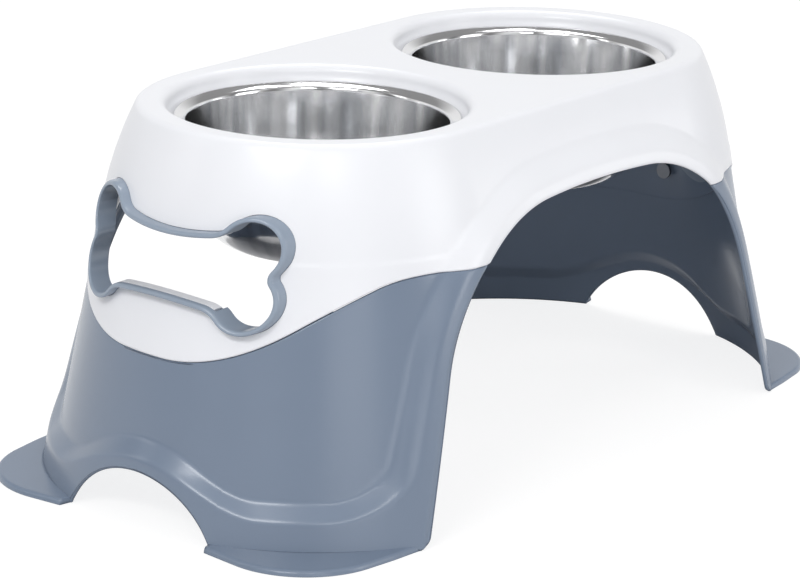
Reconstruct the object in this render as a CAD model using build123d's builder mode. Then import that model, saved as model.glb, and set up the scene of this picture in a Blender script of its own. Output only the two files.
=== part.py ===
from build123d import *
import os
from math import atan2, cos, hypot, pi, radians, sin, sqrt, tan

# Raised double-bowl feeding stand for a dog. The origin is on the ground under the
# middle of the stand, +X runs along the row of two bowls and +Z is up. The outer
# wall is a rounded oblong: half rounds about the two bowl axes, straight between.

# Wall and deck
bowl_pitch = 267
deck_height = 277
wall_foot_radius = 196
wall_lean = 10.9
bend_height = 200
shoulder_radius = 300
deck_edge_radius = 7
ground_relief = 0.5

# Side arch, cut right through from front to back
arch_height = 220.5
arch_crown_radius = 900
arch_corner_radius = 141
arch_half_width = 223
arch_lean = 16

# Round-topped notch between the two feet of each leg
notch_half_width = 68
notch_height = 42.5
notch_shift = 2

# Raised border along the arch, the feet and the notch
border_rise = 7.5
arch_border_width = 19
notch_border_width = 13
foot_border_height = 27
border_corner_radius = 34
border_corner_reach = 164
border_merge_height = 150
border_sweep_radius = 22

# White shell, and its seam to the grey legs
shell_wall = 2.8
leg_wall = 3
seam_inset = 0.8
seam_gap = 0.3
seam_side_height = 187.8
tongue_height = 122.3
tongue_half_width = 70.4
tongue_shift = 14.8
tongue_slope = 37.6
tongue_low_radius = 149
tongue_high_radius = 33
fit_clearance = 0.3

# Seats for the bowls in the deck
well_radius = 110
well_lip_radius = 4.5
well_depth = 15
well_draft = 13
ledge_hole_radius = 98.5
ledge_wall = 2.8
skirt_depth = 13
skirt_wall = 2.5
deck_rib_wall = 2.4
deck_rib_depth = 14

# Steel bowls
bowl_rim_radius = 106
bowl_bead_radius = 2
bowl_flange_drop = 3
bowl_wall_radius = 96.5
bowl_wall_draft = 3
bowl_corner_radius = 45
bowl_depth = 98
bowl_sheet = 1

# Bone-shaped handle ring
ring_centre_height = 189.6
ring_shift = 3
ring_lobe_reach = 67.6
ring_lobe_rise = 17.4
ring_lobe_radius = 23.4
ring_waist_half_height = 24
ring_waist_radius = 280
ring_blend_radius = 18
ring_dent_radius = 5.5
ring_wall = 3.5
ring_proud = 8.2
ring_flange_width = 4
ring_flange_wall = 2

# Feet and their rubber pads
foot_notch_reach = 325.5
foot_corner_reach = 341.5
foot_corner_side = 165
foot_middle_side = 218
foot_corner_radius = 60
foot_plate_wall = 4.3
foot_bevel_run = 7
foot_bevel_drop = 3.4
pad_margin = 9
pad_wall = 2
pad_clearance = 0.2

# Hidden panel of each leg behind the shell, and the screws through it
panel_half_width = 112
panel_drop = 25
panel_overlap = 5
screw_spread = 27
screw_drop = 39
screw_low = 145
screw_shank_radius = 2
screw_head_radius = 6.5
screw_head_wall = 2.5
screw_length = 6.5
boss_radius = 4.2
seat_radius = 8
seat_lift = 0.5

# Worked out from the sizes above
far = 400
axis_x = bowl_pitch / 2
lean = radians(wall_lean)
bend_radius = wall_foot_radius - bend_height * tan(lean)
shoulder_centre = (bend_radius - shoulder_radius * cos(lean), bend_height - shoulder_radius * sin(lean))
edge_rise = deck_height - deck_edge_radius - shoulder_centre[1]
edge_reach = sqrt((shoulder_radius - deck_edge_radius) ** 2 - edge_rise**2)
edge_centre = (shoulder_centre[0] + edge_reach, shoulder_centre[1] + edge_rise)
edge_angle = atan2(edge_rise, edge_reach)
notch_radius = (notch_half_width**2 + notch_height**2) / (2 * notch_height)
notch_centre = notch_height - notch_radius
panel_face = shell_wall + fit_clearance
panel_back = panel_face + leg_wall
well_floor = deck_height - well_depth
panel_top = deck_height - panel_drop
screw_high = deck_height - screw_drop

os.makedirs("parts", exist_ok=True)


def on_arc(centre, radius, angle):
    """Point on a circle at an angle in radians."""
    return (centre[0] + radius * cos(angle), centre[1] + radius * sin(angle))


def arc(centre, radius, start, end):
    """Arc about a centre between two angles in radians, the way the angles run."""
    points = [on_arc(centre, radius, angle) for angle in (start, (start + end) / 2, end)]
    return ThreePointArc(*points)


def wall_radius(height, offset):
    """Radius of the wall about a bowl axis, with the wall moved out by an offset."""
    if height <= bend_height + offset * sin(lean):
        return wall_foot_radius + offset / cos(lean) - height * tan(lean)
    return shoulder_centre[0] + sqrt((shoulder_radius + offset) ** 2 - (height - shoulder_centre[1]) ** 2)


def wall_form(offset):
    """Solid rounded oblong that fills the wall and deck, grown by an offset."""
    with BuildPart() as form:
        with BuildSketch(Plane.YZ.offset(axis_x)) as half:
            with BuildLine():
                crown = arc(shoulder_centre, shoulder_radius + offset, lean, edge_angle)
                ground = Line((0, 0), (wall_radius(0, offset), 0))
                Line(ground @ 1, crown @ 0)
                corner_end = crown @ 1
                if deck_edge_radius + offset > fit_clearance:
                    corner = arc(edge_centre, deck_edge_radius + offset, edge_angle, pi / 2)
                    corner_end = corner @ 1
                top = Line(corner_end, (0, corner_end.Y))
                Line(top @ 1, ground @ 0)
            make_face()
        end = revolve(axis=Axis((axis_x, 0, 0), (0, 0, -1)), revolution_arc=180)
        middle = extrude(half.sketch, amount=-bowl_pitch)
        mirror(middle, about=Plane.XZ)
        mirror(end, about=Plane.YZ)
    return form.part


def arch_prism(grow):
    """Space under the side arch, front to back, with its outline grown."""
    side = radians(arch_lean)
    crown_centre = (0, arch_height - arch_crown_radius)
    start_x = arch_half_width - arch_corner_radius * cos(side)
    start_z = -arch_corner_radius * sin(side) - crown_centre[1]
    along = -start_x * sin(side) + start_z * cos(side)
    reach = arch_crown_radius - arch_corner_radius
    run = -along + sqrt(along**2 - start_x**2 - start_z**2 + reach**2)
    corner_centre = (start_x - run * sin(side), start_z + crown_centre[1] + run * cos(side))
    crown_angle = atan2(corner_centre[1] - crown_centre[1], corner_centre[0])
    with BuildPart() as prism:
        with BuildSketch(Plane.XZ):
            with BuildLine():
                corner = arc(corner_centre, arch_corner_radius + grow, side, crown_angle)
                crown = arc(crown_centre, arch_crown_radius + grow, crown_angle, pi / 2)
                low = (corner @ 0).Y / cos(side) + foot_border_height
                leg_line = Line(corner @ 0, (corner @ 0) + Vector(sin(side), -cos(side)) * low)
                floor = Line(leg_line @ 1, (0, (leg_line @ 1).Y))
                Line(floor @ 1, crown @ 1)
            make_face()
            mirror(about=Plane.YZ)
        extrude(amount=far, both=True)
    return prism.part


def notch_prism():
    """Space of the notches at both ends, along the whole stand."""
    with BuildPart() as prism:
        with BuildSketch(Plane((0, notch_shift, 0), x_dir=(0, 1, 0), z_dir=(1, 0, 0))):
            with Locations((0, notch_centre)):
                Circle(notch_radius)
        extrude(amount=far, both=True)
    return prism.part


def foot_border_prism(shrink):
    """Space below the upper line of the border on the feet and round the notch."""
    band_radius = notch_radius + notch_border_width
    sweep_height = foot_border_height + border_sweep_radius
    sweep_rise = sweep_height - notch_centre
    sweep_y = sqrt((band_radius + border_sweep_radius) ** 2 - sweep_rise**2)
    sweep_angle = atan2(sweep_rise, sweep_y)
    corner_centre = (border_corner_reach - border_corner_radius, foot_border_height + border_corner_radius)
    with BuildPart() as prism:
        with BuildSketch(Plane((0, notch_shift, 0), x_dir=(0, 1, 0), z_dir=(1, 0, 0))):
            with BuildLine():
                notch_band = arc((0, notch_centre), band_radius, pi / 2, sweep_angle)
                sweep = arc((sweep_y, sweep_height), border_sweep_radius, sweep_angle - pi, -pi / 2)
                corner = arc(corner_centre, border_corner_radius, -pi / 2, 0)
                Line(sweep @ 1, corner @ 0)
                side = Line(corner @ 1, (border_corner_reach, border_merge_height))
                Polyline([side @ 1, (far, border_merge_height), (far, -far), (0, -far), notch_band @ 0])
            make_face()
            mirror(about=Plane.YZ)
            if shrink > 0:
                offset(amount=-shrink, kind=Kind.INTERSECTION)
        extrude(amount=far, both=True)
    return prism.part


def seam_prism(drop):
    """Space below the seam line between shell and legs, lowered by a drop."""
    slope_run = (seam_side_height - tongue_height) / tan(radians(tongue_slope))
    low = tongue_height - drop
    high = seam_side_height - drop
    with BuildPart() as prism:
        with BuildSketch(Plane((0, tongue_shift, 0), x_dir=(0, 1, 0), z_dir=(1, 0, 0))):
            with BuildLine():
                half = FilletPolyline(
                    [(0, low), (tongue_half_width, low), (tongue_half_width + slope_run, high), (far, high)],
                    radius=[tongue_low_radius, tongue_high_radius],
                )
                mirror(half, about=Plane.YZ)
                Polyline([half @ 1, (far, -far), (-far, -far), (-far, high)])
            make_face()
        extrude(amount=far, both=True)
    return prism.part


def skin_form(inset, wall):
    """Solid bounded by the stepped skin, moved in by an inset plus a wall."""
    rise = border_rise - inset - wall
    with BuildPart() as border:
        add(arch_prism(arch_border_width - wall))
        add(foot_border_prism(wall))
        add(wall_form(rise), mode=Mode.INTERSECT)
    with BuildPart() as skin:
        add(wall_form(-inset - wall))
        add(border.part)
    return skin.part


def bone_prism(grow):
    """Bone outline at the left end, grown, run along X from outside to the middle."""
    bow = (0, ring_waist_half_height + ring_waist_radius)
    lobe = (ring_lobe_reach, ring_lobe_rise)
    bow_gap = ring_waist_radius - ring_blend_radius
    lobe_gap = ring_lobe_radius + ring_blend_radius
    span = hypot(lobe[0], bow[1] - lobe[1])
    along = (bow_gap**2 - lobe_gap**2 + span**2) / (2 * span)
    aside = sqrt(bow_gap**2 - along**2)
    side_way, down_way = lobe[0] / span, (bow[1] - lobe[1]) / span
    blend = (along * side_way - aside * down_way, bow[1] - along * down_way - aside * side_way)
    dent_gap = ring_lobe_radius + ring_dent_radius
    dent = (ring_lobe_reach + sqrt(dent_gap**2 - ring_lobe_rise**2), 0)
    bow_angle = atan2(blend[1] - bow[1], blend[0] - bow[0])
    blend_angle = atan2(blend[1] - lobe[1], blend[0] - lobe[0])
    dent_angle = atan2(dent[1] - lobe[1], dent[0] - lobe[0])
    with BuildPart() as prism:
        with BuildSketch(Plane((-far, ring_shift, ring_centre_height), x_dir=(0, 1, 0), z_dir=(1, 0, 0))):
            with BuildLine():
                waist = arc(bow, ring_waist_radius - grow, -pi / 2, bow_angle)
                arc(blend, ring_blend_radius - grow, bow_angle, blend_angle - pi)
                arc(lobe, ring_lobe_radius + grow, blend_angle, dent_angle)
                side = arc(dent, ring_dent_radius - grow, dent_angle + pi, pi)
                middle = Line(side @ 1, (0, 0))
                Line(middle @ 1, waist @ 0)
            make_face()
            mirror(about=Plane.XZ)
            mirror(about=Plane.YZ)
        extrude(amount=far)
    return prism.part


def screw_seats():
    """Centre (x, y, z) of each flat seat of a screw head inside the left leg."""
    seats = []
    for height in (screw_low, screw_high):
        for side in (-1, 1):
            top_radius = wall_radius(height + seat_radius, -panel_back)
            reach = sqrt(top_radius**2 - (screw_spread + seat_radius) ** 2)
            seats.append((-axis_x - reach + seat_lift, side * screw_spread, height))
    return seats


def rod(seat, radius, start, end):
    """Round rod along X on a screw's axis, from one distance to another past its seat."""
    plane = Plane((seat[0] - start, seat[1], seat[2]), x_dir=(0, 1, 0), z_dir=(-1, 0, 0))
    with BuildPart() as bar:
        with BuildSketch(plane):
            Circle(radius)
        extrude(amount=end - start)
    return bar.part


def foot_outline():
    """Face with the outer edges of all four feet, filled in between them."""
    with BuildSketch() as outline:
        with BuildLine():
            edge = FilletPolyline(
                [(foot_notch_reach, 0), (foot_corner_reach, foot_corner_side), (0, foot_middle_side)],
                radius=foot_corner_radius,
            )
            Polyline([edge @ 1, (0, 0), edge @ 0])
        make_face()
        mirror(about=Plane.XZ)
        mirror(about=Plane.YZ)
    return outline.sketch


def pad_blocks(margin, height):
    """Half-moon blocks on the ground under the left leg's two feet, inside a margin."""
    with BuildPart() as blocks:
        with BuildSketch():
            add(foot_outline())
            with Locations((-axis_x, 0)):
                Circle(wall_radius(0, border_rise), mode=Mode.SUBTRACT)
            Rectangle(2 * far, 2 * notch_half_width, mode=Mode.SUBTRACT)
            with Locations((-arch_half_width, 0)):
                Rectangle(2 * far, 2 * far, align=(Align.MIN, Align.CENTER), mode=Mode.SUBTRACT)
            offset(amount=-margin, kind=Kind.INTERSECTION)
        extrude(amount=height)
    return blocks.part


arch_space = arch_prism(0)
notch_space = notch_prism()
seats = screw_seats()

# White top shell: deck, wall, arched sides and a tongue at each end
with BuildPart() as bosses:
    for seat in seats:
        add(rod(seat, boss_radius, fit_clearance, far))
    mirror(about=Plane.YZ)
    add(wall_form(-shell_wall / 2), mode=Mode.INTERSECT)

with BuildPart() as pilots:
    for seat in seats:
        add(rod(seat, screw_shank_radius + fit_clearance / 3, 0, screw_length + fit_clearance))
    mirror(about=Plane.YZ)

with BuildPart() as bone_holes:
    add(bone_prism(fit_clearance))
    mirror(about=Plane.YZ)

with BuildPart() as well_walls:
    with Locations((axis_x, 0), (-axis_x, 0)):
        with Locations((0, 0, well_floor - ledge_wall)):
            Cylinder(well_radius + shell_wall, well_depth, align=(Align.CENTER, Align.CENTER, Align.MIN))
            Cylinder(
                ledge_hole_radius + skirt_wall,
                skirt_depth,
                align=(Align.CENTER, Align.CENTER, Align.MAX),
            )

with BuildPart() as well_spaces:
    with BuildSketch(Plane.XZ) as well_half:
        well_foot = well_radius - well_depth * tan(radians(well_draft))
        with BuildLine():
            lip_centre = (well_radius + well_lip_radius, deck_height - well_lip_radius)
            lip = arc(lip_centre, well_lip_radius, pi / 2, pi)
            Polyline([lip @ 1, (well_foot, well_floor), (ledge_hole_radius, well_floor)])
            Polyline([(ledge_hole_radius, well_floor), (ledge_hole_radius, bend_height), (0, bend_height)])
            Polyline([(0, bend_height), (0, far), ((lip @ 0).X, far), lip @ 0])
        make_face()
    well = revolve(axis=Axis.Z)

with BuildPart() as deck_rib:
    with Locations((0, 0, deck_height - shell_wall / 2)):
        Box(deck_rib_wall, far, deck_rib_depth, align=(Align.CENTER, Align.CENTER, Align.MAX))
    add(wall_form(-shell_wall / 2), mode=Mode.INTERSECT)

with BuildPart() as top_shell:
    add(skin_form(0, 0))
    add(skin_form(0, shell_wall), mode=Mode.SUBTRACT)
    add(seam_prism(0), mode=Mode.SUBTRACT)
    add(arch_space, mode=Mode.SUBTRACT)
    add(well_walls.part)
    add(deck_rib.part)
    with Locations((axis_x, 0), (-axis_x, 0)):
        add(well_spaces.part, mode=Mode.SUBTRACT)
    add(bone_holes.part, mode=Mode.SUBTRACT)
    add(bosses.part)
    add(pilots.part, mode=Mode.SUBTRACT)
top_shell.part.label = "top_shell"

# Grey legs: each an end wall with a hidden panel that reaches up behind the shell
with BuildPart() as foot_plan:
    with BuildSketch(Plane.XY.offset(ground_relief)):
        add(foot_outline())
    extrude(amount=foot_plate_wall)
    foot_top = foot_plan.faces().sort_by(Axis.Z)[-1]
    chamfer(foot_top.edges(), length=foot_bevel_run, length2=foot_bevel_drop, reference=foot_top)

with BuildPart() as panel_zone:
    with BuildSketch(Plane.YZ):
        with Locations((0, panel_top / 2)):
            Rectangle(2 * panel_half_width, panel_top)
    extrude(amount=-far)

with BuildPart() as shoulder:
    add(panel_zone.part)
    add(seam_prism(seam_gap), mode=Mode.INTERSECT)
    add(seam_prism(panel_overlap), mode=Mode.SUBTRACT)
    add(wall_form(-seam_inset), mode=Mode.INTERSECT)
    add(wall_form(-panel_back), mode=Mode.SUBTRACT)

with BuildPart() as panel:
    add(panel_zone.part)
    add(seam_prism(panel_overlap), mode=Mode.SUBTRACT)
    add(wall_form(-panel_face), mode=Mode.INTERSECT)
    add(wall_form(-panel_back), mode=Mode.SUBTRACT)

with BuildPart() as seat_pads:
    for seat in seats:
        add(rod(seat, seat_radius, 0, far))
    add(wall_form(-panel_face), mode=Mode.INTERSECT)

with BuildPart() as left_leg:
    add(skin_form(seam_inset, 0))
    add(foot_plan.part)
    add(skin_form(seam_inset, leg_wall), mode=Mode.SUBTRACT)
    add(seam_prism(seam_gap), mode=Mode.INTERSECT)
    split(bisect_by=Plane.YZ, keep=Keep.BOTTOM)
    with Locations((-arch_half_width, 0, 0)):
        Box(far, 2 * far, 2 * ground_relief, mode=Mode.SUBTRACT)
    add(arch_space, mode=Mode.SUBTRACT)
    add(notch_space, mode=Mode.SUBTRACT)
    add(shoulder.part)
    add(panel.part)
    add(seat_pads.part)
    for seat in seats:
        add(rod(seat, boss_radius + fit_clearance, -far / 10, far), mode=Mode.SUBTRACT)
    add(bone_prism(fit_clearance), mode=Mode.SUBTRACT)
    add(pad_blocks(pad_margin - pad_clearance, pad_wall + pad_clearance), mode=Mode.SUBTRACT)
left_leg.part.label = "left_leg"

with BuildPart() as right_leg:
    mirror(left_leg.part, about=Plane.YZ)
right_leg.part.label = "right_leg"

# Rubber pads pressed into the underside of each foot
back_pad, front_pad = pad_blocks(pad_margin, pad_wall).solids().sort_by(Axis.Y, reverse=True)
for name, solid in (("back", back_pad), ("front", front_pad)):
    with BuildPart() as left_pad:
        add(solid)
    left_pad.part.label = f"left_{name}_pad"
    with BuildPart() as right_pad:
        mirror(solid, about=Plane.YZ)
    right_pad.part.label = f"right_{name}_pad"
    for pad in (left_pad, right_pad):
        export_step(pad.part, f"parts/{pad.part.label}.step")

# Handle rings: bone-shaped collars pushed out through panel and shell from inside
with BuildPart() as collar:
    add(wall_form(ring_proud))
    add(wall_form(-panel_back - ring_flange_wall - fit_clearance), mode=Mode.SUBTRACT)
    add(bone_prism(0), mode=Mode.INTERSECT)

with BuildPart() as left_handle_ring:
    add(wall_form(-panel_back - fit_clearance))
    add(wall_form(-panel_back - ring_flange_wall - fit_clearance), mode=Mode.SUBTRACT)
    add(bone_prism(ring_flange_width), mode=Mode.INTERSECT)
    add(collar.part)
    add(bone_prism(-ring_wall), mode=Mode.SUBTRACT)
left_handle_ring.part.label = "left_handle_ring"

with BuildPart() as right_handle_ring:
    mirror(left_handle_ring.part, about=Plane.YZ)
right_handle_ring.part.label = "right_handle_ring"

# Screws driven from inside each leg into the shell's bosses
with BuildPart() as left_leg_screws:
    for seat in seats:
        add(rod(seat, screw_shank_radius, 0, screw_length))
        add(rod(seat, screw_head_radius, -screw_head_wall, 0))
left_leg_screws.part.label = "left_leg_screws"

with BuildPart() as right_leg_screws:
    mirror(left_leg_screws.part, about=Plane.YZ)
right_leg_screws.part.label = "right_leg_screws"

# Steel bowls: one pressed sheet with a rolled rim, which hangs on the well's ledge
rim_height = well_floor + fit_clearance + 2 * bowl_bead_radius
bead_centre = (bowl_rim_radius - bowl_bead_radius, rim_height - bowl_bead_radius)
bowl_base = rim_height - bowl_depth
bowl_low_radius = bowl_wall_radius - bowl_depth * tan(radians(bowl_wall_draft))
with BuildPart() as bowl_form:
    with BuildSketch(Plane.XZ):
        with BuildLine():
            inside = FilletPolyline(
                [
                    (0, bowl_base + bowl_sheet),
                    (bowl_low_radius, bowl_base + bowl_sheet),
                    (bowl_wall_radius, rim_height - bowl_flange_drop),
                    (bead_centre[0], rim_height),
                ],
                radius=[bowl_corner_radius, bowl_flange_drop],
            )
            offset(amount=bowl_sheet, side=Side.RIGHT)
        make_face()
        with Locations(bead_centre):
            Circle(bowl_bead_radius)
    revolve(axis=Axis.Z)

with BuildPart() as left_bowl:
    with Locations((-axis_x, 0)):
        add(bowl_form.part)
left_bowl.part.label = "left_bowl"

with BuildPart() as right_bowl:
    with Locations((axis_x, 0)):
        add(bowl_form.part)
right_bowl.part.label = "right_bowl"

pieces = [top_shell, left_leg, right_leg, left_handle_ring, right_handle_ring]
pieces += [left_leg_screws, right_leg_screws, left_bowl, right_bowl]
for piece in pieces:
    export_step(piece.part, f"parts/{piece.part.label}.step")
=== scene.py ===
from math import acos, asin, atan2, cos, hypot, pi, radians, sin, sqrt, tan

import bmesh
import bpy
from mathutils import Matrix, Vector


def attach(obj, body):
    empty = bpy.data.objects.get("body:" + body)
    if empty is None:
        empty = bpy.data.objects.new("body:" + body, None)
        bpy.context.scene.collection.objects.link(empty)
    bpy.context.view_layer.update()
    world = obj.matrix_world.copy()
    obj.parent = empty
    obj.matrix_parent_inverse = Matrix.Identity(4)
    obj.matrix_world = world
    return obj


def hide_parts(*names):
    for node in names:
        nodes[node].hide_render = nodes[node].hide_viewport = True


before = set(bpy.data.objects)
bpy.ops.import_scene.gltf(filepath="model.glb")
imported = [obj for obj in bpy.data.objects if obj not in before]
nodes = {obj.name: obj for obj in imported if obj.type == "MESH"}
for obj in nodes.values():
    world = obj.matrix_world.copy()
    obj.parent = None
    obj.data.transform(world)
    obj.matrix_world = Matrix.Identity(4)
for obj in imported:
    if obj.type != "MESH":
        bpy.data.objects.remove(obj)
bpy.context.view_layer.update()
scene = bpy.context.scene

# Camera at the photograph's angle: a long lens from the stand's left front,
# a little above the deck.
camera_place = (-1.844, -1.417, 0.822)
yaw, pitch, roll = radians(38.02), radians(-17.26), radians(1.29)
ahead = Vector((cos(yaw) * cos(pitch), sin(yaw) * cos(pitch), sin(pitch)))
level = ahead.cross(Vector((0, 0, 1))).normalized()
upward = level.cross(ahead)
across = cos(roll) * level + sin(roll) * upward
upward = -sin(roll) * level + cos(roll) * upward
camera_turn = Matrix((across, upward, -ahead)).transposed().to_4x4()
lens = bpy.data.cameras.new("photo_camera")
lens.lens, lens.sensor_width, lens.clip_end = 141.17, 36, 20
camera = bpy.data.objects.new("photo_camera", lens)
scene.collection.objects.link(camera)
camera.matrix_world = Matrix.Translation(camera_place) @ camera_turn
scene.camera = camera

# Studio: a white floor that keeps only a soft shadow, a surround that is brightest
# above the camera, and soft lamps: two high beyond the stand and six round the front.


def feed(tree, node, inputs):
    """Sets a shader node's inputs, each to a value or a link from another node's output."""
    for name, value in inputs.items():
        if isinstance(value, bpy.types.NodeSocket):
            tree.links.new(value, node.inputs[name])
        else:
            node.inputs[name].default_value = value


def add_node(tree, kind, inputs=None, **settings):
    """New shader node with its settings made and its inputs fed."""
    node = tree.nodes.new(kind)
    for key, value in settings.items():
        setattr(node, key, value)
    feed(tree, node, inputs or {})
    return node


def combined(tree, operation, *values, kind="ShaderNodeMath"):
    """Output of a math node that works on values or other nodes' outputs."""
    return add_node(tree, kind, dict(enumerate(values)), operation=operation).outputs["Value"]


def mapped(tree, value, start, end, low=0.0, high=1.0):
    """Output that runs from start to end while a value goes from low to high."""
    inputs = {"Value": value, "From Min": low, "From Max": high, "To Min": start, "To Max": end}
    return add_node(tree, "ShaderNodeMapRange", inputs).outputs["Result"]


def new_material(name):
    """New material, with its node tree and its main shader."""
    material = bpy.data.materials.new(name)
    material.use_nodes = True
    return material, material.node_tree, material.node_tree.nodes["Principled BSDF"]


floor_size = 9
floor_bm = bmesh.new()
bmesh.ops.create_grid(floor_bm, x_segments=2, y_segments=2, size=floor_size)
floor_mesh = bpy.data.meshes.new("studio_floor")
floor_bm.to_mesh(floor_mesh)
floor_bm.free()
studio_floor = bpy.data.objects.new("studio_floor", floor_mesh)
scene.collection.objects.link(studio_floor)

floor_paint, paint, matt = new_material("studio_floor")
feed(paint, matt, {"Base Color": (0.56, 0.56, 0.57, 1), "Roughness": 0.9})
shadowed = add_node(paint, "ShaderNodeBsdfDiffuse", {"Color": (0.25, 0.245, 0.235, 1)})
lit = add_node(paint, "ShaderNodeEmission", {"Color": (0.985, 0.99, 1, 1), "Strength": 0.84})
white_floor = add_node(
    paint, "ShaderNodeAddShader", {0: shadowed.outputs["BSDF"], 1: lit.outputs["Emission"]}
)
# Mirror reflections see the white floor only outside an oval the size of the stand; inside it they see the
# darker matt floor, which adds painted shade to the real shadow under the stand.
shade_reach = (0.36, 0.24)
floor_place = add_node(paint, "ShaderNodeTexCoord").outputs["Object"]
footprint = add_node(
    paint, "ShaderNodeVectorMath", {0: floor_place, 1: (1 / shade_reach[0], 1 / shade_reach[1], 0)},
    operation="MULTIPLY",
).outputs["Vector"]
from_middle = combined(paint, "LENGTH", footprint, kind="ShaderNodeVectorMath")
open_floor = combined(paint, "GREATER_THAN", from_middle, 1)
floor_ray = add_node(paint, "ShaderNodeLightPath")
mirrored_floor = combined(paint, "MULTIPLY", open_floor, floor_ray.outputs["Is Glossy Ray"])
floor_seen = combined(paint, "MAXIMUM", floor_ray.outputs["Is Camera Ray"], mirrored_floor)
floor_mix = add_node(
    paint, "ShaderNodeMixShader",
    {"Fac": floor_seen, 1: matt.outputs["BSDF"], 2: white_floor.outputs["Shader"]},
)
feed(paint, paint.nodes["Material Output"], {"Surface": floor_mix.outputs["Shader"]})
floor_mesh.materials.append(floor_paint)

world = bpy.data.worlds.new("studio_light")
world.use_nodes = True
scene.world = world
sky = world.node_tree
heading_of = add_node(sky, "ShaderNodeTexCoord").outputs["Generated"]


def sky_slope(way, low, high, start, end):
    """Output that runs from start to end with a direction's share along a way."""
    share = combined(sky, "DOT_PRODUCT", heading_of, way, kind="ShaderNodeVectorMath")
    return mapped(sky, share, start, end, low, high)


ray = add_node(sky, "ShaderNodeLightPath")
glow = sky_slope((-0.45, -0.38, 0.81), -0.1, 0.9, 0.15, 0.8)
beyond = sky_slope((0.788, 0.616, 0.0), -0.1, 0.15, 0.0, 1.0)
backdrop = sky_slope((0.0, 0.0, 1.0), 0.3, 0.5, 0.95, 0.32)
# The room has dark and light panels all round, which only mirror reflections see.
room_turn = add_node(sky, "ShaderNodeTexGradient", {"Vector": heading_of}, gradient_type="RADIAL")
panel_place = add_node(sky, "ShaderNodeCombineXYZ", {"X": room_turn.outputs["Fac"]})
panel_wave = {"Scale": 2.6, "Distortion": 5, "Detail Scale": 0.6, "Phase Offset": 1.2}
room_panels = add_node(sky, "ShaderNodeTexWave", {"Vector": panel_place.outputs["Vector"], **panel_wave})
panel_light = mapped(sky, room_panels.outputs["Fac"], 0.35, 1.35)
mirrored_room = add_node(
    sky, "ShaderNodeMix", {"Factor": ray.outputs["Is Glossy Ray"], "A": 1, "B": panel_light}
)
room_glow = combined(sky, "MULTIPLY", glow, mirrored_room.outputs["Result"])
mirrored_far = combined(sky, "MULTIPLY", beyond, ray.outputs["Is Glossy Ray"])
lit_side = add_node(sky, "ShaderNodeMix", {"Factor": mirrored_far, "A": room_glow, "B": backdrop})
strength = combined(sky, "MAXIMUM", ray.outputs["Is Camera Ray"], lit_side.outputs["Result"])
feed(sky, sky.nodes["Background"], {"Color": (1, 1, 1, 1), "Strength": strength})
scene.view_settings.view_transform = "Standard"


def soft_lamp(name, place, aim, width, height, watts):
    """Rectangular soft lamp at a place, turned to a point on the stand."""
    lamp = bpy.data.lights.new(name, "AREA")
    lamp.shape = "RECTANGLE"
    lamp.size, lamp.size_y = width, height
    lamp.energy = watts
    holder = bpy.data.objects.new(name, lamp)
    scene.collection.objects.link(holder)
    holder.location = place
    holder.rotation_mode = "QUATERNION"
    holder.rotation_quaternion = (Vector(aim) - Vector(place)).to_track_quat("-Z", "Y")


soft_lamp("overhead_left_lamp", (0.8, 0.93, 2.27), (0, 0, 0.25), 0.55, 0.6, 10)
soft_lamp("overhead_right_lamp", (1.15, 0.52, 2.24), (0, 0, 0.25), 0.36, 0.6, 7)
soft_lamp("key_lamp", (-1.8, -0.4, 1.6), (0, 0, 0.15), 0.8, 0.4, 15)
soft_lamp("high_lamp", (-1.4, -1.45, 1.4), (0, 0, 0.1), 0.4, 0.3, 3.5)
soft_lamp("left_lamp", (-1.7, 1.4, 1.1), (0, 0, 0.15), 0.5, 0.9, 2)
soft_lamp("right_lamp", (0.6, -2.3, 0.7), (0, 0, 0.15), 0.9, 1.1, 9.5)
soft_lamp("edge_lamp", (1.6, -1.4, 0.35), (0, 0, 0.1), 0.4, 0.5, 2.5)
soft_lamp("camera_lamp", (-1.5, -2.1, 0.3), (0, 0, 0.1), 1.0, 0.4, 2)

# White top shell: one injection-moulded skin, 2.8 mm thick. The wall slopes in to a
# flat deck with two round wells, a raised border follows the arches, and a tongue
# with a bone-shaped hole hangs down at each end.
axis_x = 0.1335
deck_height = 0.277
wall_foot = 0.196
lean = radians(10.9)
bend_height = 0.2
shoulder_radius = 0.3
deck_edge = 0.007
shell_wall = 0.0028
# Pieces that meet keep this much play.
play = 0.0003

bend_radius = wall_foot - bend_height * tan(lean)
shoulder = (bend_radius - shoulder_radius * cos(lean), bend_height - shoulder_radius * sin(lean))
edge_up = deck_height - deck_edge - shoulder[1]
edge_reach = sqrt((shoulder_radius - deck_edge) ** 2 - edge_up**2)
edge_centre = (shoulder[0] + edge_reach, shoulder[1] + edge_up)
edge_start = atan2(edge_up, edge_reach)
edge_from = edge_centre[1] + deck_edge * sin(edge_start)


def wall_radius(height, out=0.0):
    """Radius of the wall about a bowl axis at a height, moved out by a distance."""
    if height <= bend_height + out * sin(lean):
        return wall_foot + out / cos(lean) - height * tan(lean)
    return shoulder[0] + sqrt((shoulder_radius + out) ** 2 - (height - shoulder[1]) ** 2)


def ramp(value, low, high):
    """0 below low, 1 above high, with a straight slope between that is rounded at both ends."""
    share = (value - low) / (high - low)
    bend = 0.16
    if share <= -bend or share >= 1 + bend:
        return 0.0 if share < 0 else 1.0
    if share < bend:
        return (share + bend) ** 2 / (4 * bend)
    if share > 1 - bend:
        return 1 - (1 + bend - share) ** 2 / (4 * bend)
    return share


arch_height = 0.2205
arch_crown = 0.9
arch_corner = 0.141
arch_half = 0.223
arch_lean = radians(16)
arch_foot_round = 0.009

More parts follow.
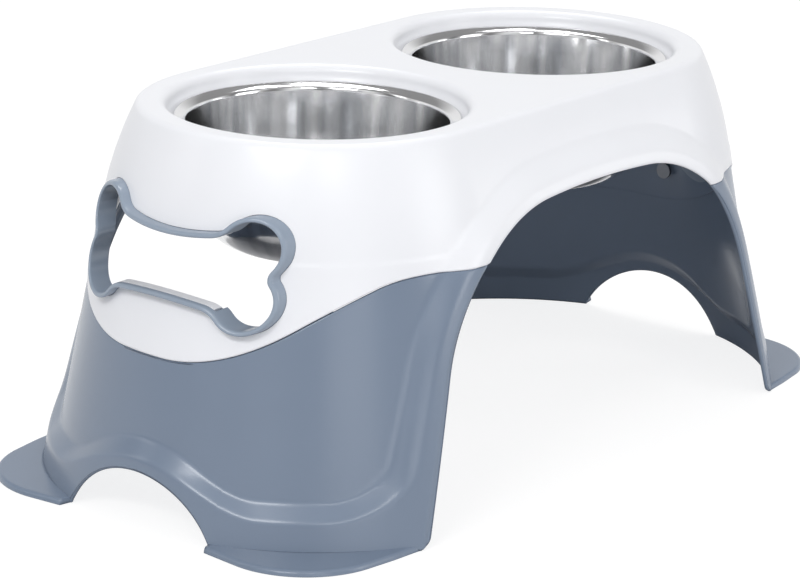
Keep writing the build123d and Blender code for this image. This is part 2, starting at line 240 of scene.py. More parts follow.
crown_z = arch_height - arch_crown
start_x = arch_half - arch_corner * cos(arch_lean)
start_z = -arch_corner * sin(arch_lean) - crown_z
along = -start_x * sin(arch_lean) + start_z * cos(arch_lean)
run = -along + sqrt(along**2 - start_x**2 - start_z**2 + (arch_crown - arch_corner) ** 2)
corner_x = start_x - run * sin(arch_lean)
corner_z = start_z + crown_z + run * cos(arch_lean)
crown_angle = atan2(corner_z - crown_z, corner_x)


def arch_distance(x, z):
    """Distance of a point in side view from the arch outline, positive outside the opening."""
    x = abs(x)
    if x * (corner_z - crown_z) <= corner_x * (z - crown_z) and z > crown_z:
        return hypot(x, z - crown_z) - arch_crown
    if atan2(z - corner_z, x - corner_x) >= arch_lean:
        return hypot(x - corner_x, z - corner_z) - arch_corner
    return (x - corner_x) * cos(arch_lean) + (z - corner_z) * sin(arch_lean) - arch_corner


def arch_top(x):
    """Height of the arch outline at a distance along the stand."""
    x = abs(x)
    if x <= corner_x + arch_corner * cos(crown_angle):
        return crown_z + sqrt(arch_crown**2 - x**2)
    if x < corner_x + arch_corner * cos(arch_lean):
        return corner_z + sqrt(arch_corner**2 - (x - corner_x) ** 2)
    return (arch_half - x) / tan(arch_lean)


def arch_side(z):
    """Half width of the arch at a height, rounded off where the leg meets the ground."""
    if z < corner_z + arch_corner * sin(arch_lean):
        under = max(arch_foot_round - z, 0.0)
        straight = arch_half - z * tan(arch_lean)
        return straight + arch_foot_round - sqrt(arch_foot_round**2 - under**2)
    return corner_x + sqrt(arch_corner**2 - (z - corner_z) ** 2)


tongue_low = 0.1223
tongue_half = 0.0704
tongue_shift = 0.0148
tongue_slope = radians(37.6)
tongue_low_radius = 0.149
tongue_high_radius = 0.033
seam_side = 0.1878


def seam_height(y):
    """Height of the seam line between shell and leg, seen along the stand."""
    off = abs(y - tongue_shift)
    half_turn = tan(tongue_slope / 2)
    low_run = tongue_low_radius * half_turn
    high_run = tongue_high_radius * half_turn
    high_corner = tongue_half + (seam_side - tongue_low) / tan(tongue_slope)
    if off <= tongue_half - low_run:
        return tongue_low
    if off <= tongue_half + low_run * cos(tongue_slope):
        past = off - tongue_half + low_run
        return tongue_low + tongue_low_radius - sqrt(tongue_low_radius**2 - past**2)
    if off <= high_corner - high_run * cos(tongue_slope):
        return tongue_low + (off - tongue_half) * tan(tongue_slope)
    if off <= high_corner + high_run:
        short = high_corner + high_run - off
        return seam_side - tongue_high_radius + sqrt(tongue_high_radius**2 - short**2)
    return seam_side


border_rise, border_width, border_end = 0.0075, 0.0105, 0.0265
roll_width, roll_depth, roll_share = 0.0035, 0.002, 0.9
crease_rise, crease_from, crease_to = 0.0006, 0.197, 0.2


def arch_border(x, z):
    """Share of the full border height at a point in side view: 1 on the rim, 0 on the wall."""
    return 1 - ramp(arch_distance(x, z), border_width, border_end)


def arch_roll(x, z):
    """How far the outer skin rolls inwards at the very edge of the arch."""
    lip = roll_share * min(max(roll_width - arch_distance(x, z), 0.0) / roll_width, 1.0)
    return roll_depth * (1 - sqrt(1 - lip**2))


def shell_out(x, z):
    """How far the shell's outer skin stands out from the plain wall."""
    crease = crease_rise * (1 - ramp(z, crease_from, crease_to))
    return crease + (border_rise - crease) * arch_border(x, z) - arch_roll(x, z)


end_turn = pi / 2 * wall_foot


def wall_column(place, height):
    """Point on the shell: place runs from the middle of the front round the left end to the back."""
    side = -1
    if place > axis_x + end_turn:
        place, side = 2 * (axis_x + end_turn) - place, 1
    if place <= axis_x:
        return Vector((-place, side * wall_radius(height, shell_out(-place, height)), height))
    heading = (place - axis_x) / wall_foot
    x = -axis_x - wall_radius(height) * sin(heading)
    radius = wall_radius(height, shell_out(x, height))
    return Vector((-axis_x - radius * sin(heading), side * radius * cos(heading), height))


arch_reach = 0.16


def shell_bottom(place):
    """Height of the shell's lower edge on a column of the wall."""
    height = bend_height
    for _ in range(30):
        spot = wall_column(place, height)
        height = max(arch_top(spot.x) if abs(spot.x) < arch_reach else 0.0, seam_height(spot.y))
        if abs(spot.x) < axis_x and height > seam_side:
            height = arch_top(spot.x)
    return height


# The columns are close where the arch meets the seam, so that place is found first.
level_run, level_columns, arch_columns, end_columns = 0.08, 26, 42, 70
junction = axis_x + 0.078 * wall_foot
for _ in range(40):
    spot = wall_column(junction, seam_side)
    junction += (arch_side(seam_side) + spot.x) * 0.8
end_run = axis_x + end_turn - junction
quarter = [level_run * i / level_columns for i in range(level_columns)]
quarter += [level_run + (junction - level_run) * i / arch_columns for i in range(arch_columns)]
quarter += [junction + end_run * i / end_columns for i in range(end_columns + 1)]
columns = quarter + [2 * (axis_x + end_turn) - place for place in reversed(quarter[:-1])]
rim_rows, under_crease_rows, crease_rows, wall_rows, edge_rows = 30, 42, 50, 66, 8
rim_step = 0.001
lowest_crease, crease_gap, crease_height = 0.196, 0.004, 0.006


def wall_row(low, row):
    """Height of a row of the wall: close rows at the rim and at the crease above it."""
    rim_top = low + rim_step * rim_rows
    crease_low = max(lowest_crease, rim_top + crease_gap)
    steps = [(0, low), (rim_rows, rim_top), (under_crease_rows, crease_low)]
    steps += [(crease_rows, crease_low + crease_height), (wall_rows, edge_from)]
    for (first, bottom), (last, top) in zip(steps, steps[1:]):
        if row <= last:
            return bottom + (top - bottom) * (row - first) / (last - first)
    return edge_from


shell_bm = bmesh.new()
bmesh.ops.create_grid(shell_bm, x_segments=len(columns) - 1, y_segments=wall_rows + edge_rows, size=1)
bottoms = [shell_bottom(place) for place in columns]
for vert in shell_bm.verts:
    column = round((vert.co.x + 1) / 2 * (len(columns) - 1))
    row = round((vert.co.y + 1) / 2 * (wall_rows + edge_rows))
    height = wall_row(bottoms[column], row)
    spot = wall_column(columns[column], height)
    if row > wall_rows:
        angle = edge_start + (pi / 2 - edge_start) * (row - wall_rows) / edge_rows
        middle = Vector((min(max(spot.x, -axis_x), 0.0), 0.0, 0.0))
        outward = Vector((spot.x - middle.x, spot.y, 0.0)).normalized()
        spot = middle + outward * (edge_centre[0] + deck_edge * cos(angle))
        spot.z = edge_centre[1] + deck_edge * sin(angle)
    vert.co = spot
half_shell = shell_bm.verts[:] + shell_bm.edges[:] + shell_bm.faces[:]
bmesh.ops.mirror(shell_bm, geom=half_shell, axis="X", merge_dist=1e-5)
bmesh.ops.remove_doubles(shell_bm, verts=shell_bm.verts[:], dist=1e-5)


def arc(centre, radius, start, end, steps):
    """Points on an arc from one angle to another, both ends included."""
    angles = (start + (end - start) * i / steps for i in range(steps + 1))
    return [(centre[0] + radius * cos(angle), centre[1] + radius * sin(angle)) for angle in angles]


def spun(bm, profile, centre_x, steps):
    """Turns a profile of (radius, height) points about an upright axis into a skin."""
    strand = [bm.verts.new((centre_x + r, 0, z)) for r, z in profile]
    line = [bm.edges.new(pair) for pair in zip(strand, strand[1:])]
    bmesh.ops.spin(
        bm, geom=strand + line, cent=(centre_x, 0, 0), axis=(0, 0, 1),
        angle=2 * pi, steps=steps, use_merge=True,
    )


well_radius, well_lip, well_depth = 0.11, 0.007, 0.015
well_foot = well_radius - well_depth * tan(radians(13))
well_floor = deck_height - well_depth
well_fillet, fillet_run = 0.0012, 0.0008
ledge_hole, ledge_edge, skirt_depth = 0.0985, 0.001, 0.013
skirt_low = well_floor - shell_wall - skirt_depth
lip_centre = (well_radius + well_lip, deck_height - well_lip)
well_profile = arc(lip_centre, well_lip, pi / 2, pi, 9)
well_profile += [(well_foot + well_fillet, well_floor + well_fillet)]
well_profile += [(well_foot - fillet_run, well_floor)]
well_profile += [(ledge_hole + ledge_edge, well_floor), (ledge_hole, well_floor - ledge_edge)]
well_profile += [(ledge_hole, skirt_low)]
for side in (-1, 1):
    spun(shell_bm, well_profile, side * axis_x, 160)
open_edges = [edge for edge in shell_bm.edges if edge.is_boundary]
rims = [e for e in open_edges if all(abs(v.co.z - deck_height) < 1e-6 for v in e.verts)]
bmesh.ops.triangle_fill(shell_bm, use_beauty=True, edges=rims, normal=(0, 0, 1))


def finished(name, bm, material, body="stand"):
    """Object made of a bmesh, smooth shaded, that rides on a body."""
    mesh = bpy.data.meshes.new(name)
    for face in bm.faces:
        face.smooth = True
    bm.to_mesh(mesh)
    bm.free()
    piece = bpy.data.objects.new(name, mesh)
    scene.collection.objects.link(piece)
    mesh.materials.append(material)
    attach(piece, body)
    return piece


def two_tone(tree, value, low, low_colour, high, high_colour):
    """Output that blends between two colours while a value goes from low to high."""
    blend = add_node(tree, "ShaderNodeValToRGB", {"Fac": value})
    stops = blend.color_ramp.elements
    stops[0].position, stops[0].color = low, (*low_colour, 1)
    stops[1].position, stops[1].color = high, (*high_colour, 1)
    return blend.outputs["Color"]


def noise(tree, vector, scale, **details):
    """Output of a noise texture, with its other inputs named in small letters."""
    inputs = {key.capitalize(): value for key, value in details.items()}
    return add_node(tree, "ShaderNodeTexNoise", {"Vector": vector, "Scale": scale, **inputs}).outputs["Fac"]


def plastic(name, colour, gloss):
    """Moulded plastic: smooth gloss with a very fine mould grain and slight flow marks."""
    material, tree, surface = new_material(name)
    place = add_node(tree, "ShaderNodeTexCoord").outputs["Object"]
    flow = noise(tree, place, 14, detail=3)
    grain = noise(tree, place, 1600, detail=2)
    bump = add_node(tree, "ShaderNodeBump", {"Strength": 0.05, "Distance": 0.0002, "Height": grain})
    feed(tree, surface, {
        "Base Color": two_tone(tree, flow, 0.3, [c * 0.985 for c in colour], 0.7, colour),
        "Roughness": mapped(tree, flow, gloss - 0.04, gloss + 0.05),
        "Normal": bump.outputs["Normal"],
    })
    return material


sharp_angle = radians(50)


def give_wall(bm, thickness, round_off):
    """Gives an open skin its wall, inwards, and rounds off the edges of the rims."""
    bmesh.ops.recalc_face_normals(bm, faces=bm.faces[:])
    outermost = max(bm.faces, key=lambda face: abs(face.calc_center_median().x))
    if outermost.normal.x * outermost.calc_center_median().x < 0:
        bmesh.ops.reverse_faces(bm, faces=bm.faces[:])
    bmesh.ops.solidify(bm, geom=bm.faces[:], thickness=thickness)
    sharp = [edge for edge in bm.edges if edge.calc_face_angle(0) > sharp_angle]
    bmesh.ops.bevel(
        bm, geom=sharp, offset=round_off, offset_type="OFFSET", segments=3, profile=0.5,
        affect="EDGES", clamp_overlap=False, material=-1,
    )


def cut_through(piece, cutter):
    """Cuts the shape of another object out of a piece for good."""
    hole = piece.modifiers.new("hole", "BOOLEAN")
    hole.operation = "DIFFERENCE"
    hole.solver = "EXACT"
    hole.object = cutter
    graph = bpy.context.evaluated_depsgraph_get()
    made = bpy.data.meshes.new_from_object(piece.evaluated_get(graph))
    made.shade_smooth()
    made.set_sharp_from_angle(angle=sharp_angle)
    piece.modifiers.clear()
    piece.data = made


# The bone outline has four round lobes, long bowed sides and a small dent at each end.
ring_centre, ring_shift = 0.1896, 0.003
lobe_reach, lobe_rise, lobe_radius = 0.0676, 0.0174, 0.0234
waist_half, waist_radius, blend_radius, dent_radius = 0.024, 0.28, 0.018, 0.0055
bow_z = waist_half + waist_radius
bow_gap, lobe_gap = waist_radius - blend_radius, lobe_radius + blend_radius
span = hypot(lobe_reach, bow_z - lobe_rise)
bow_along = (bow_gap**2 - lobe_gap**2 + span**2) / (2 * span)
bow_aside = sqrt(bow_gap**2 - bow_along**2)
side_way, down_way = lobe_reach / span, (bow_z - lobe_rise) / span
blend_y = bow_along * side_way - bow_aside * down_way
blend_z = bow_z - bow_along * down_way - bow_aside * side_way
dent_y = lobe_reach + sqrt((lobe_radius + dent_radius) ** 2 - lobe_rise**2)
bow_angle = atan2(blend_z - bow_z, blend_y)
blend_angle = atan2(blend_z - lobe_rise, blend_y - lobe_reach)
dent_angle = atan2(-lobe_rise, dent_y - lobe_reach)


def bone_loop(grow):
    """Closed bone outline (y, z) about its own centre, grown by a distance."""
    quarter = arc((0, bow_z), waist_radius - grow, -pi / 2, bow_angle, 12)[:-1]
    quarter += arc((blend_y, blend_z), blend_radius - grow, bow_angle, blend_angle - pi, 10)
    quarter += arc((lobe_reach, lobe_rise), lobe_radius + grow, blend_angle, dent_angle, 27)[1:]
    quarter += arc((dent_y, 0), dent_radius - grow, dent_angle + pi, pi, 5)[1:]
    right = quarter + [(y, -z) for y, z in reversed(quarter[:-1])]
    return right + [(-y, z) for y, z in reversed(right[1:-1])]


plug_from = 0.2
bone_bm = bmesh.new()
for side in (-1, 1):
    corners = [
        bone_bm.verts.new((side * plug_from, ring_shift + y, ring_centre + z))
        for y, z in bone_loop(play)
    ]
    plug = bmesh.ops.extrude_face_region(bone_bm, geom=[bone_bm.faces.new(corners)])["geom"]
    far_end = [part for part in plug if isinstance(part, bmesh.types.BMVert)]
    bmesh.ops.translate(bone_bm, vec=(side * plug_from, 0, 0), verts=far_end)
bmesh.ops.recalc_face_normals(bone_bm, faces=bone_bm.faces[:])
bone_mesh = bpy.data.meshes.new("bone_cutter")
bone_bm.to_mesh(bone_mesh)
bone_bm.free()
bone_cutter = bpy.data.objects.new("bone_cutter", bone_mesh)
scene.collection.objects.link(bone_cutter)

white_plastic = plastic("white_plastic", (0.84, 0.85, 0.885), 0.3)
give_wall(shell_bm, shell_wall, round_off=0.0011)
white_shell = finished("white_shell", shell_bm, white_plastic)
cut_through(white_shell, bone_cutter)
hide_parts("top_shell")

# Grey legs: each a blue-grey moulded end wall with two flat feet, a notch between
# them and a hidden panel that reaches up behind the shell, where screws hold it.
seam_inset = 0.0008
leg_wall = 0.003
ground_gap = 0.0005
notch_half, notch_height, notch_shift = 0.068, 0.0425, 0.002
notch_radius = (notch_half**2 + notch_height**2) / (2 * notch_height)
notch_z = notch_height - notch_radius
notch_band, foot_band, side_band = 0.013, 0.027, 0.164
notch_fillet, side_fillet = 0.022, 0.034
band_low, band_high = -0.0035, 0.008


def blended(one, other, radius):
    """Nearer of two distances, with the inner corner between them filleted."""
    return max(radius, min(one, other)) - hypot(max(radius - one, 0.0), max(radius - other, 0.0))


def foot_border(y, z):
    """Share of the full border height round the feet and the notch, seen along the stand."""
    off = abs(y - notch_shift)
    round_notch = hypot(off, z - notch_z) - notch_radius - notch_band
    line = blended(round_notch, z - foot_band, notch_fillet)
    return 1 - ramp(blended(line, side_band - off, side_fillet), band_low, band_high)


def leg_out(x, y, z):
    """How far the leg's outer skin stands out from the plain wall."""
    share = 1 - (1 - arch_border(x, z)) * (1 - foot_border(y, z))
    return border_rise * share - seam_inset - arch_roll(x, z)


def leg_point(share, height):
    """Point on the leg's skin: share runs from -1 at the front arch edge to 1 at the back."""
    rim = wall_radius(height, border_rise - seam_inset)
    widest = acos(min(max((arch_side(height) - axis_x) / rim, -1.0), 1.0))
    heading = share * widest
    plain = wall_radius(height)
    out = leg_out(-axis_x - plain * cos(heading), plain * sin(heading), height)
    radius = wall_radius(height, out)
    return Vector((-axis_x - radius * cos(heading), radius * sin(heading), height))


def notch_top(y):
    """Height of the notch's edge at a distance across the leg, or of the foot beside it."""
    inside = notch_radius**2 - (y - notch_shift) ** 2
    return max(notch_z + sqrt(max(inside, 0.0)), ground_gap)


def leg_column(share):
    """Heights of the rows of a column of the leg, from the notch or ground up to the seam."""
    low, high = ground_gap, seam_side
    for _ in range(30):
        low = notch_top(leg_point(share, low).y)
        high = seam_height(leg_point(share, high).y) - play
    fine = [low + leg_step * i for i in range(leg_fine_rows)]
    start = low + leg_step * leg_fine_rows
    count = leg_rows - leg_fine_rows
    return fine + [start + (high - start) * i / count for i in range(count + 1)]


foot_rim = wall_radius(0, border_rise - seam_inset)
widest_foot = acos((arch_side(ground_gap) - axis_x) / foot_rim)


def share_at(y):
    """Share of the leg's width at a distance across it, at the ground."""
    return asin(y / foot_rim) / widest_foot


notch_turn = asin(notch_half / notch_radius)
notch_low, notch_high = share_at(notch_shift - notch_half), share_at(notch_shift + notch_half)
band_width, band_steps, side_steps, notch_steps = 0.031, 28, 36, 44
band_share = band_width / (foot_rim * widest_foot)
notch_angles = [notch_turn * (i - notch_steps) / notch_steps for i in range(2 * notch_steps + 1)]
shares = [-1 + band_share * i / band_steps for i in range(band_steps)]
shares += [-1 + band_share + (notch_low + 1 - band_share) * i / side_steps for i in range(side_steps)]
shares += [share_at(notch_shift + notch_radius * sin(angle)) for angle in notch_angles]
shares += [notch_high + (1 - band_share - notch_high) * i / side_steps for i in range(1, side_steps + 1)]
shares += [1 - band_share + band_share * i / band_steps for i in range(1, band_steps + 1)]
leg_fine_rows, leg_rows, leg_step = 46, 82, 0.001
leg_bm = bmesh.new()
bmesh.ops.create_grid(leg_bm, x_segments=len(shares) - 1, y_segments=leg_rows, size=1)
heights = [leg_column(share) for share in shares]
for vert in leg_bm.verts:
    column = round((vert.co.x + 1) / 2 * (len(shares) - 1))
    row = round((vert.co.y + 1) / 2 * leg_rows)
    vert.co = leg_point(shares[column], heights[column][row])
give_wall(leg_bm, leg_wall, round_off=0.0012)

grey_plastic = plastic("grey_plastic", (0.184, 0.232, 0.311), 0.24)
left_leg_wall = finished("left_leg_wall", leg_bm, grey_plastic)

panel_half, panel_top, panel_face = 0.112, 0.252, shell_wall + play
panel_overlap = 0.005
panel_bm = bmesh.new()
bmesh.ops.create_grid(panel_bm, x_segments=70, y_segments=40, size=1)
for vert in panel_bm.verts:
    y = panel_half * vert.co.x
    low = seam_height(y) - panel_overlap
    z = low + (panel_top - low) * (vert.co.y + 1) / 2
    vert.co = (-axis_x - sqrt(wall_radius(z, -panel_face) ** 2 - y**2), y, z)
give_wall(panel_bm, leg_wall, round_off=0.0005)
left_leg_panel = finished("left_leg_panel", panel_bm, grey_plastic)
cut_through(left_leg_panel, bone_cutter)

foot_corner, foot_round = Vector((0.3412, 0.1615)), 0.067
foot_end, foot_side = 0.3252, 0.214
foot_edge_height, foot_rise, foot_slope = 0.0009, 0.0036, 0.0032
foot_rows, foot_step = 20, 0.0005
foot_overlap, notch_overlap, notch_flare = 0.0015, 0.0008, 0.002
tip_steps, tip_depth = 8, 0.15


def foot_outline(notch_edge):
    """Points on a foot's rounded outline, from the notch edge's distance to the arch."""
    end_way = Vector((foot_corner.x - foot_end, foot_corner.y)).normalized()
    side_way = Vector((-foot_corner.x, foot_side - foot_corner.y)).normalized()
    half_turn = end_way.angle(-side_way) / 2
    inward = (side_way - end_way).normalized()
    centre = foot_corner + inward * foot_round / sin(half_turn)
    start = foot_corner - end_way * foot_round / tan(half_turn)
    finish = foot_corner + side_way * foot_round / tan(half_turn)
    first = start - end_way * (start.y - notch_edge) / end_way.y
    last = finish + side_way * (finish.x - arch_side(ground_gap)) / -side_way.x
    from_angle = atan2(start.y - centre.y, start.x - centre.x)
    to_angle = atan2(finish.y - centre.y, finish.x - centre.x)
    path = [first.lerp(start, i / 10) for i in range(10)]
    path += [Vector(point) for point in arc(centre, foot_round, from_angle, to_angle, 28)]
    return path + [finish.lerp(last, i / 14) for i in range(1, 15)]


inner_rim = foot_rim - foot_overlap
arch_heading = acos((arch_side(ground_gap) - axis_x) / inner_rim)
foot_bm = bmesh.new()
for side in (-1, 1):
    notch_edge = notch_half - notch_overlap + side * notch_shift
    outline = foot_outline(notch_edge + notch_flare)
    notch_heading = asin(notch_edge / inner_rim)
    last_step = len(outline) - 1
    verts = bmesh.ops.create_grid(foot_bm, x_segments=last_step, y_segments=foot_rows, size=1)["verts"]
    for vert in verts:
        step = round((vert.co.x + 1) / 2 * last_step)
        row = round((1 - vert.co.y) / 2 * foot_rows)
        heading = notch_heading + (arch_heading - notch_heading) * step / last_step
        near_wall = Vector((axis_x + inner_rim * cos(heading), inner_rim * sin(heading)))
        to_tip = min((last_step - step) / tip_steps, 1.0)
        reach = tip_depth + (1 - tip_depth) * sqrt(1 - (1 - to_tip) ** 2)
        rim_spot = near_wall.lerp(outline[step], reach)
        depth = (rim_spot - near_wall).length
        from_edge = min(foot_step * row, depth * row / foot_rows)
        if row > foot_rows / 2:
            from_edge += (depth - from_edge) * (row / (foot_rows / 2) - 1)
        spot = rim_spot.lerp(near_wall, from_edge / depth)
        round_over = sqrt(1 - (1 - min(from_edge / foot_slope, 1.0)) ** 2)
        vert.co = (-spot.x, side * spot.y, foot_edge_height + foot_rise * round_over)
    skin = list({face for vert in verts for face in vert.link_faces})
    below = bmesh.ops.extrude_face_region(foot_bm, geom=skin)["geom"]
    for vert in [part for part in below if isinstance(part, bmesh.types.BMVert)]:
        vert.co.z = ground_gap
bmesh.ops.recalc_face_normals(foot_bm, faces=foot_bm.faces[:])
left_leg_feet = finished("left_leg_feet", foot_bm, grey_plastic)


def mirrored(piece, name):
    """Mirror image of a left-hand piece for the right end."""
    twin = piece.copy()
    twin.name = name
    twin.data = piece.data.copy()
    twin.data.transform(Matrix.Scale(-1, 4, (1, 0, 0)))
    twin.data.flip_normals()
    scene.collection.objects.link(twin)
    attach(twin, "stand")
    return twin


right_leg_wall = mirrored(left_leg_wall, "right_leg_wall")
right_leg_panel = mirrored(left_leg_panel, "right_leg_panel")
right_leg_feet = mirrored(left_leg_feet, "right_leg_feet")
for piece in (left_leg_wall, left_leg_panel, left_leg_feet):
    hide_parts("left_leg")
for piece in (right_leg_wall, right_leg_panel, right_leg_feet):
    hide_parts("right_leg")
bpy.data.objects.remove(bone_cutter)

# Handle rings: bone-shaped grey collars that line the hand holes, deep round the
# lobes and shallow on the bars. A flange behind the panel stops each one, and its
# round front lip stands 8 mm proud of the wall.
ring_wall, ring_proud = 0.0035, 0.0082
ring_back = -panel_face - leg_wall - play
ring_lip = ring_wall / 2
flange_wall, flange_width = 0.002, 0.004
bar_half, bar_back, bar_wall, bar_step = 0.046, 0.0035, 0.0008, 0.0002
flange_out = ring_back - flange_wall
section = [(-ring_wall, flange_out), (flange_width, flange_out), (flange_width, ring_back)]
section += [(0, ring_back), (0, 0)]
section += arc((-ring_lip, ring_proud - ring_lip), ring_lip, 0, pi, 8)
section += [(-ring_wall, bar_back + bar_step), (-ring_wall, bar_back)]
bar_section = [
    (-bar_wall, out) if grow == -ring_wall and out <= bar_back else (grow, out) for grow, out in section
]


def ring_point(grow, out, step):
    """Point of the ring at a step of the bone outline, grown, and out from the wall."""
    y, z = bone_loop(grow)[step]
    y, z = y + ring_shift, z + ring_centre
    return Vector((-axis_x - sqrt(wall_radius(z, out) ** 2 - y**2), y, z))


def crease_edges(bm):
    """Keeps the shading sharp on the hard edges of a closed skin."""
    for edge in bm.edges:
        edge.smooth = len(edge.link_faces) != 2 or edge.calc_face_angle(0) < sharp_angle


bone = bone_loop(0)
on_bar = [abs(y) < bar_half for y, z in bone]
ring_bm = bmesh.new()
bmesh.ops.create_grid(ring_bm, x_segments=len(bone), y_segments=len(section), size=1)
for vert in ring_bm.verts:
    step = round((vert.co.x + 1) / 2 * len(bone)) % len(bone)
    part = round((vert.co.y + 1) / 2 * len(section)) % len(section)
    grow, out = (bar_section if on_bar[step] else section)[part]
    vert.co = ring_point(grow, out, step)
bmesh.ops.remove_doubles(ring_bm, verts=ring_bm.verts[:], dist=1e-7)
bmesh.ops.recalc_face_normals(ring_bm, faces=ring_bm.faces[:])
crease_edges(ring_bm)
# The rings are the legs' grey plastic with a lighter grey painted in, standing in for the light their
# glossy rounded fronts catch.
ring_plastic_painted_lighter = plastic("ring_plastic_painted_lighter", (0.28, 0.335, 0.415), 0.2)
left_ring = finished("left_handle_collar", ring_bm, ring_plastic_painted_lighter)
right_ring = mirrored(left_ring, "right_handle_collar")
for piece, node in ((left_ring, "left_handle_ring"), (right_ring, "right_handle_ring")):
    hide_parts(node)

# Hole lips: along each bar of a hand hole the white shell is folded inwards, behind
# the shallow part of the ring.
lip_front, lip_back, lip_under = bar_back - play, -0.0045, -0.0011
fold = ((-ring_wall, lip_front), (-ring_wall, lip_back), (lip_under, lip_back), (lip_under, lip_front))
lips_bm = bmesh.new()
for half in (1, -1):
    steps = [i for i, (y, z) in enumerate(bone) if on_bar[i] and z * half > 0]
    steps.sort(key=lambda i: bone[i][0])
    verts = bmesh.ops.create_grid(lips_bm, x_segments=len(steps) - 1, y_segments=4, size=1)["verts"]
    for vert in verts:
        step = steps[round((vert.co.x + 1) / 2 * (len(steps) - 1))]
        grow, out = fold[round((vert.co.y + 1) / 2 * 4) % 4]
        vert.co = ring_point(grow, out, step)
bmesh.ops.remove_doubles(lips_bm, verts=lips_bm.verts[:], dist=1e-7)
bmesh.ops.holes_fill(lips_bm, edges=[edge for edge in lips_bm.edges if edge.is_boundary], sides=4)
bmesh.ops.recalc_face_normals(lips_bm, faces=lips_bm.faces[:])
crease_edges(lips_bm)
left_lips = finished("left_hole_lips", lips_bm, white_plastic)
right_lips = mirrored(left_lips, "right_hole_lips")
for piece in (left_lips, right_lips):
    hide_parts("top_shell")

# Steel bowls: deep-drawn from one sheet of stainless steel and polished, with a flat
# flange that hangs on the well's ledge and an edge rolled under all round.
rim_radius, bead = 0.106, 0.002
rim_height = well_floor + play + 2 * bead
bowl_wall, bowl_draft, bowl_corner, bowl_depth, sheet = 0.0965, radians(3), 0.045, 0.098, 0.001
flange_top = rim_height - 0.003
base = rim_height - bowl_depth
turn = pi / 2 - bowl_draft
corner_r = bowl_wall - bowl_depth * tan(bowl_draft) - bowl_corner * tan(turn / 2)
corner_centre = (corner_r, base + sheet + bowl_corner)
# The bend from the wall into the flange, as offsets from the top of each.
bend_inside = ((-0.0006, -0.003), (-0.0003, -0.001), (0.0004, -0.0001), (0.0016, 0.0004))
bend_outside = ((0.0016, -0.0007), (sheet, -0.0025))
bowl_profile = [(corner_r * i / 6, base + sheet) for i in range(6)]
bowl_profile += arc(corner_centre, bowl_corner, -pi / 2, turn - pi / 2, 20)
bowl_profile += [(bowl_wall + r, flange_top + z) for r, z in bend_inside]
bowl_profile += arc((rim_radius - bead, rim_height - bead), bead, radians(102), radians(-150), 14)
bowl_profile += [(bowl_wall + r, flange_top + z) for r, z in bend_outside]
bowl_profile += arc(corner_centre, bowl_corner + sheet, turn - pi / 2, -pi / 2, 20)
bowl_profile += [(corner_r * i / 6, base) for i in range(5, -1, -1)]


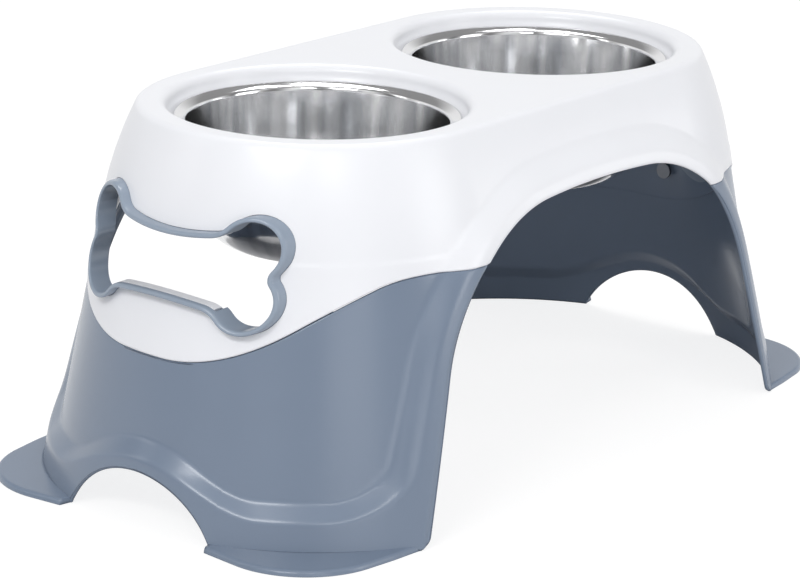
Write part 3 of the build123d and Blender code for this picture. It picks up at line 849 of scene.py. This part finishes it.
def steel(name, centre_x):
    """Polished stainless steel with faint turning lines, and light and dark streaks down its wall painted
    into its colour as reflections.
    """
    material, tree, surface = new_material(name)
    place = add_node(tree, "ShaderNodeTexCoord").outputs["Object"]
    centred = add_node(tree, "ShaderNodeMapping", {"Vector": place, "Location": (-centre_x, 0, 0)})
    parts = add_node(tree, "ShaderNodeSeparateXYZ", {"Vector": centred.outputs["Vector"]}).outputs
    flat = add_node(tree, "ShaderNodeCombineXYZ", {"X": parts["X"], "Y": parts["Y"]}).outputs["Vector"]
    radius = combined(tree, "LENGTH", flat, kind="ShaderNodeVectorMath")
    around = add_node(tree, "ShaderNodeVectorMath", {0: flat}, operation="NORMALIZE").outputs["Vector"]
    upright = add_node(tree, "ShaderNodeCombineXYZ", {"X": radius, "Y": parts["Z"]}).outputs["Vector"]
    turning = noise(tree, upright, 900, detail=3)
    # Light and dark bands round the wall are painted into the base colour as reflections; the flange and
    # the bottom keep one plain tone.
    drawn = noise(tree, around, 3.2, detail=4, distortion=0.4)
    painted_reflection_streaks = two_tone(tree, drawn, 0.36, (0.54, 0.55, 0.57), 0.6, (0.88, 0.88, 0.88))
    flange = mapped(tree, radius, 0, 1, bowl_wall - 0.001, bowl_wall)
    bottom = mapped(tree, radius, 1, 0, 0.06, 0.085)
    tone = add_node(
        tree, "ShaderNodeMix",
        {"Factor": combined(tree, "MAXIMUM", flange, bottom), "A": painted_reflection_streaks, "B": (0.76, 0.76, 0.77, 1)},
        data_type="RGBA",
    )
    rough = combined(tree, "MULTIPLY_ADD", flange, -0.03, mapped(tree, turning, 0.08, 0.16))
    bump = add_node(tree, "ShaderNodeBump", {"Strength": 0.015, "Distance": 0.0001, "Height": turning})
    feed(tree, surface, {
        "Metallic": 1,
        "Base Color": tone.outputs["Result"],
        "Roughness": rough,
        "Normal": bump.outputs["Normal"],
    })
    return material


for name, side in (("left_bowl", -1), ("right_bowl", 1)):
    bowl_bm = bmesh.new()
    spun(bowl_bm, bowl_profile, side * axis_x, 192)
    bmesh.ops.remove_doubles(bowl_bm, verts=bowl_bm.verts[:], dist=1e-6)
    bmesh.ops.recalc_face_normals(bowl_bm, faces=bowl_bm.faces[:])
    drawn_bowl = finished(f"{name}_drawn", bowl_bm, steel(f"{name}_steel", side * axis_x), name)
    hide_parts(name)

# Foot pads: soft black rubber, cut from sheet and pressed into a pocket under each
# foot, so that the stand doesn't slide. The CAD shapes stay and get a speckled rubber.
pad_rubber, rubber_tree, rubber = new_material("pad_rubber")
speck = noise(rubber_tree, add_node(rubber_tree, "ShaderNodeTexCoord").outputs["Object"], 500)
speck_tint = two_tone(rubber_tree, speck, 0, (0.012, 0.012, 0.013), 1, (0.03, 0.03, 0.032))
feed(rubber_tree, rubber, {"Base Color": speck_tint, "Roughness": 0.85})


def dress(names, material):
    """Gives CAD pieces whose shape stays a better material."""
    for name in names:
        nodes[name].data.materials.clear()
        nodes[name].data.materials.append(material)


dress(("left_back_pad", "left_front_pad", "right_back_pad", "right_front_pad"), pad_rubber)

# Leg screws: round-headed screws of blackened steel, driven from inside each leg into
# the bosses of the shell. The CAD shapes stay and get a slightly mottled steel.
screw_steel, screw_tree, blackened = new_material("screw_steel")
mottle = noise(screw_tree, add_node(screw_tree, "ShaderNodeTexCoord").outputs["Object"], 300)
feed(screw_tree, blackened, {
    "Metallic": 1,
    "Base Color": (0.16, 0.17, 0.19, 1),
    "Roughness": mapped(screw_tree, mottle, 0.25, 0.45),
})
dress(("left_leg_screws", "right_leg_screws"), screw_steel)
